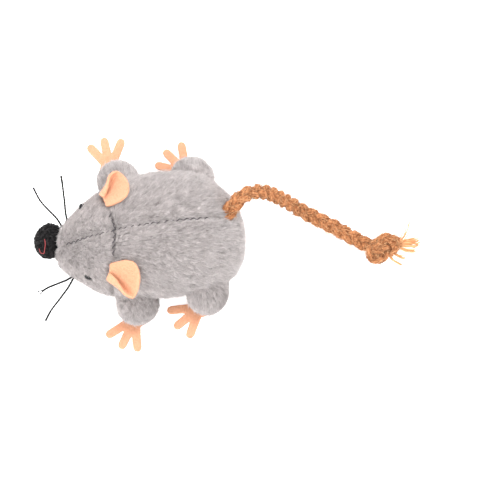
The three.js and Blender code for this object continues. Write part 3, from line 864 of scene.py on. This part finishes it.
def pile_objects(region, seed):
    """The hairs of one region, in clumps that lie along the nap, with longer guard hairs."""
    rng = np.random.default_rng(seed)
    roots, normals = pile_roots(region, rng)
    count = len(roots)
    guard = rng.random(count) < GUARD_HAIRS
    flow = pile_flow(roots, normals, region)
    yaw = rng.normal(0, 0.16, count)[:, None]
    heading = np.cos(yaw) * flow + np.sin(yaw) * np.cross(normals, flow)
    length = pile_length(roots, region) * rng.uniform(0.75, 1.15, count)
    length = (length * np.where(guard, 1.3, 1.0))[:, None]
    by_nose = 1 - smoothstep(from_nose_surface(roots), 2 * MM, 5 * MM)
    lift = (rng.normal(0.70, 0.12, count) + 0.15 * guard + 0.3 * by_nose)[:, None]
    fall = (rng.normal(0.15, 0.12, count) + 0.20 * guard + 0.2 * by_nose)[:, None]
    middles = roots + 0.5 * length * (np.cos(lift) * heading + np.sin(lift) * normals)
    tips = middles + 0.5 * length * (np.cos(fall) * heading + np.sin(fall) * normals)

    clump, pull, clumps = clumped(roots, rng)
    tightness = np.where(guard, 0.1, rng.uniform(0.3, 0.7, clumps)[clump])[:, None]
    middles += 0.35 * tightness * pull
    tips += tightness * pull
    for line in (middles, tips):
        keep_off_floor(line, 0.1 * MM)

    free = free_of_ears(roots, tips)
    tone = 0.51 + 0.13 * rng.normal(size=clumps)[clump] + 0.12 * rng.normal(size=count)
    tone += 0.06 * ripple(roots * [1, 0.35, 1], 5 * MM, 60) + 0.15 * guard
    shade = np.clip((tone * len(pile_shades)).astype(int), 0, len(pile_shades) - 1)
    radius = HAIR_RADIUS * rng.uniform(0.8, 1.2, count)
    for part, own in enumerate(np.array_split(np.where(free)[0], -(-count // MOST_HAIRS))):
        vertices, faces, each = hairs(
            roots[own] - ROOT_DEPTH * normals[own], middles[own], tips[own], radius[own]
        )
        index = np.repeat(shade[own], each)
        piece = new_object(f"pile_{region}_{part}", vertices, faces, pile_shades, index)
        move_with_region(piece, region)


for seed, region in enumerate(REGIONS):
    pile_objects(region, 100 + seed)
bpy.data.objects.remove(skin)


# ---- felt ears and paws ---------------------------------------------------------------
FUZZ_PER_MM2 = 6


def roughen(piece, size, depth, seed):
    """Moves the surface in and out a little."""
    points = vertices_of(piece.data)
    bumps = ripple(points, size, seed) * depth + ripple(points, 3 * size, seed + 1) * depth
    set_vertices(piece.data, points + normals_of(piece.data) * bumps[:, None])


def copy_of_node(name, node):
    """A copy of a CAD node, with the vertices that lie in one place joined."""
    piece = linked(name, nodes[node].data.copy())
    shell = bmesh.new()
    shell.from_mesh(piece.data)
    bmesh.ops.remove_doubles(shell, verts=shell.verts, dist=1e-6)
    bmesh.ops.recalc_face_normals(shell, faces=shell.faces)
    shell.to_mesh(piece.data)
    shell.free()
    return piece


def felt_piece(name, node, body, seed):
    """Felt cut from sheet: the CAD outline and bends, with soft cut edges and a matted face."""
    piece = copy_of_node(name, node)
    add_remesh(piece, 0.28 * MM)
    add_smoothing(piece, 6)
    apply_modifiers(piece)
    roughen(piece, 1.1 * MM, 0.035 * MM, seed)
    piece.data.materials.clear()
    piece.data.materials.append(felt)
    shade_smooth(piece.data)
    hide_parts(node)
    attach(piece, body)
    return piece


def felt_fuzz_object(name, piece, body, seed):
    """The short loose fibres that stand off felt."""
    rng = np.random.default_rng(seed)
    points, normals = vertices_of(piece.data), normals_of(piece.data)
    own, _ = triangles_of(piece.data)
    area = triangle_areas(points, own)
    count = int(area.sum() / MM**2 * FUZZ_PER_MM2)
    chosen = rng.choice(len(own), count, p=area / area.sum())
    roots, out = points[own[chosen, 0]], normals[own[chosen, 0]]
    roots = roots + rng.uniform(0, 1, (count, 1)) * (points[own[chosen, 1]] - roots)
    lean = unit(rng.normal(size=(count, 3)))
    length = rng.uniform(0.25, 0.7, (count, 1)) * MM
    middles = roots + 0.5 * length * unit(out + 0.8 * lean)
    tips = middles + 0.5 * length * unit(0.4 * out + lean)
    vertices, faces, each = hairs(roots, middles, tips, np.full(count, 0.035 * MM))
    index = np.repeat(rng.integers(0, len(felt_fuzz), count), each)
    fuzz = new_object(name, vertices, faces, felt_fuzz, index)
    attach(fuzz, body)


# The flat cuts: width, length and area.
EAR_CUTS = {"left": (19.8 * MM, 16.9 * MM, 252 * MM**2), "right": (19.8 * MM, 15.3 * MM, 228 * MM**2)}
PAW_CUT = (17.8 * MM, 24.5 * MM, 209 * MM**2)

for i, (side, (width, length, area)) in enumerate(EAR_CUTS.items()):
    ear = felt_piece(f"felt_ear_{side}", f"ear_{side}", f"ear_{side}", 200 + i)
    felt_fuzz_object(f"ear_fuzz_{side}", ear, f"ear_{side}", 210 + i)
for i, leg in enumerate(LEGS):
    paw = felt_piece(f"felt_paw_{leg}", f"paw_{leg}", f"leg_{leg}", 220 + i)
    felt_fuzz_object(f"paw_fuzz_{leg}", paw, f"leg_{leg}", 230 + i)
    width, length, area = PAW_CUT


# ---- nose, eyes, whiskers and threads -------------------------------------------------
WOOL_CURLS, WOOL_ENDS = 420, 8000
STITCH_LENGTH = 3 * MM
STITCH_WAVE, STITCH_SINK = 0.5, 1.05  # up and down, and under the CAD thread, in millimetres


def ball(name, centre, radii, turn, material, bumps=0.0):
    """A turned ellipsoid, a little uneven."""
    shell = bmesh.new()
    bmesh.ops.create_icosphere(shell, subdivisions=5, radius=1)
    turned = Matrix.Rotation(turn, 3, "Z")
    for v in shell.verts:
        grown = v.co * (1 + bumps * noise.noise(v.co * 3))
        v.co = turned @ (grown * Vector(radii)) + Vector(centre)
    mesh = bpy.data.meshes.new(name)
    shell.to_mesh(mesh)
    shell.free()
    mesh.materials.append(material)
    shade_smooth(mesh)
    return linked(name, mesh)


def wool_curls():
    """Small curled loops of wool yarn, packed over the nose."""
    rng = np.random.default_rng(310)
    count = WOOL_CURLS
    nth = np.arange(count) + 0.5
    rise = np.arccos(1 - 2 * nth / count)
    round_ = np.pi * (1 + 5**0.5) * nth
    out = np.stack([np.cos(round_) * np.sin(rise), np.sin(round_) * np.sin(rise), np.cos(rise)], axis=1)
    out = unit(out + 0.06 * rng.normal(size=out.shape))
    centres = nose_surface(out, -0.9 * MM)
    across = unit(np.cross(out, rng.normal(size=out.shape)))
    other = np.cross(out, across)
    turns = np.linspace(0, 1, 12)[None, :, None] * 2 * np.pi * rng.uniform(0.7, 1.3, (count, 1, 1))
    size = rng.uniform(0.55, 1.0, (count, 1, 1)) * MM
    tilt = rng.uniform(0.4, 1.2, (count, 1, 1))
    ring = np.cos(turns) * across[:, None] + np.sin(turns) * (other[:, None] + tilt * out[:, None])
    paths = centres[:, None] + size * ring
    radii = rng.uniform(0.26, 0.42, (count, 1)) * MM * np.ones(paths.shape[1])
    vertices, faces = tubes(paths, radii, 6)
    curl = faces[:, 0] // (paths.shape[1] * 6)
    return new_object("nose_curls", vertices, faces, wool_shades, curl % len(wool_shades))


def wool_ends():
    """Fine wool ends that stand off the nose all round."""
    rng = np.random.default_rng(300)
    count = WOOL_ENDS
    out = unit(rng.normal(size=(count, 3)))
    roots = nose_surface(out, -1.0 * MM)
    bend = unit(rng.normal(size=(count, 3)))
    reach = rng.uniform(0.9, 1.9, (count, 1)) * MM
    middles = roots + 0.55 * reach * unit(out + 0.4 * bend)
    tips = middles + 0.45 * reach * unit(out + 1.1 * bend)
    vertices, faces, each = hairs(roots, middles, tips, rng.uniform(0.05, 0.09, count) * MM)
    shade = np.repeat(rng.integers(0, len(wool_shades), count), each)
    return new_object("nose_wool", vertices, faces, wool_shades, shade)


nose = ball("nose_core", NOSE_CENTRE, NOSE_RADII - 0.9 * MM, NOSE_TURN, wool_core, 0.05)
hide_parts("nose")
for piece in (nose, wool_curls(), wool_ends()):
    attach(piece, "body")

for side, centre in zip(("left", "right"), EYES):
    low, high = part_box(f"eye_{side}")
    eye = ball(f"bead_eye_{side}", centre, (high - low) / 2 * 1.04, 0, bead)
    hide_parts(f"eye_{side}")
    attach(eye, "body")


def middle_line(points, axis, stations):
    """The middle line of a thin CAD tube, from its vertices, along one axis."""
    places = np.linspace(points[:, axis].min(), points[:, axis].max(), stations)
    return [mean_of_least(points, np.abs(points[:, axis] - place)) for place in places]


def whisker(node, frayed=False):
    """Waxed plies twisted along the CAD cord, opening at the tip where it is frayed."""
    points = points_of(node)
    near, far = points[np.abs(points[:, 0]).argmin()], points[np.abs(points[:, 0]).argmax()]
    share = ((points - near) @ (far - near)) / ((far - near) @ (far - near))
    stations = [mean_of_least(points, np.abs(share - place)) for place in np.linspace(0, 1, 5)]
    path = evenly(spline(stations, 0.4 * MM), 0.35 * MM)
    along, side, over = framed(path)
    path = path + (0.18 * MM * np.sin(along / (3.1 * MM)))[:, None] * side
    opening = smoothstep(along / along[-1], 0.84, 1) * (0.9 * MM if frayed else 0)
    count = 3 if frayed else 2
    plies = []
    for k in range(count):
        turn = 2 * np.pi * (np.minimum(along, 0.8 * along[-1]) / (2.6 * MM) + k / count)
        reach = (0.12 * MM + opening)[:, None]
        plies.append(path + reach * (np.cos(turn)[:, None] * side + np.sin(turn)[:, None] * over))
    radii = np.full((count, len(path)), 0.36 * MM)
    radii *= 1 - 0.3 * smoothstep(opening, 0, 0.5 * MM)
    radii[:, -3:] *= [1.15, 1.05, 0.6]
    vertices, faces = tubes(np.array(plies), radii, 10)
    piece = new_object(f"cord_{node}", vertices, faces, [waxed_cord])
    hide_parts(node)
    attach(piece, "body")


for side in ("left", "right"):
    for place in ("front", "rear"):
        whisker(f"whisker_{side}_{place}", frayed=(side, place) == ("left", "front"))


def stitched_seam(name, node, axis):
    """Thread that dips in and out of the plush along its seam."""
    path = evenly(spline(middle_line(points_of(node), axis, 16), 0.5 * MM), 0.4 * MM)
    aside = np.array([axis == 1, axis == 0, 0], float)
    turn = 2 * np.pi * np.arange(len(path))[:, None] * 0.4 * MM / STITCH_LENGTH
    path = path + (STITCH_WAVE * np.sin(turn) - STITCH_SINK) * MM * UP + 0.35 * MM * np.cos(turn) * aside
    vertices, faces = tubes(path[None], np.full((1, len(path)), 0.24 * MM), 8)
    piece = new_object(name, vertices, faces, [seam_thread])
    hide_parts(node)
    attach(piece, "body")


stitched_seam("stitches_back", "back_seam_thread", axis=1)
stitched_seam("stitches_neck", "neck_seam_thread", axis=0)

# A loop of fine red thread lies over the front of the nose. The angles are those that it
# turns to the mouse's left from straight ahead, and rises, at places along it.
RED_LOOP = [(34, 78), (78, 70), (84, 52), (84, 36), (70, 32), (56, 42)]
turns, rises = np.radians(RED_LOOP).T
red_line = spline(
    nose_surface(
        np.stack([np.sin(turns) * np.cos(rises), -np.cos(turns) * np.cos(rises), np.sin(rises)], axis=1),
        0.55 * MM,
    ),
    0.3 * MM,
)
red_plies = np.array(wound(red_line, 0.1 * MM, 1.2 * MM, 2))
vertices, faces = tubes(red_plies, np.full(red_plies.shape[:2], 0.14 * MM), 6)
red_loop = new_object("red_stitch", vertices, faces, [red_thread])
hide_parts("nose_stitch")
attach(red_loop, "body")

# The stuffing keeps its CAD shape and gets a material of its own.
for name, thing in nodes.items():
    if "stuffing" in name:
        thing.data.materials.clear()
        thing.data.materials.append(fibre_fill)


# ---- floor and light ------------------------------------------------------------------
FLOOR_HALF = 3.0

# The floor glows a little, so that the shadows on it stay pale.
floor_material = plain("floor", (0.94, 0.94, 0.94), 0.9)
floor_shader = floor_material.node_tree.nodes["Principled BSDF"]
floor_shader.inputs["Emission Color"].default_value = (1, 1, 1, 1)
floor_shader.inputs["Emission Strength"].default_value = 0.65
floor = new_object(
    "floor",
    [(x * FLOOR_HALF, y * FLOOR_HALF, 0) for x, y in ((-1, -1), (1, -1), (1, 1), (-1, 1))],
    [[0, 1, 2, 3]],
    [floor_material],
)


def soft_light(name, place, size, power):
    data = bpy.data.lights.new(name, "AREA")
    data.size = size
    data.energy = power
    lamp = linked(name, data)
    lamp.location = place
    lamp.rotation_mode = "QUATERNION"
    lamp.rotation_quaternion = (-Vector(place)).to_track_quat("-Z", "Y")


soft_light("key", (-0.3, 0.3, 0.9), 0.7, 9)
soft_light("fill", (0.45, -0.65, 0.65), 0.9, 8)
world = bpy.data.worlds.new("studio")
world.use_nodes = True
world.node_tree.nodes["Background"].inputs["Color"].default_value = (1, 1, 1, 1)
world.node_tree.nodes["Background"].inputs["Strength"].default_value = 1.3
bpy.context.scene.world = world
bpy.context.scene.view_settings.view_transform = "Standard"
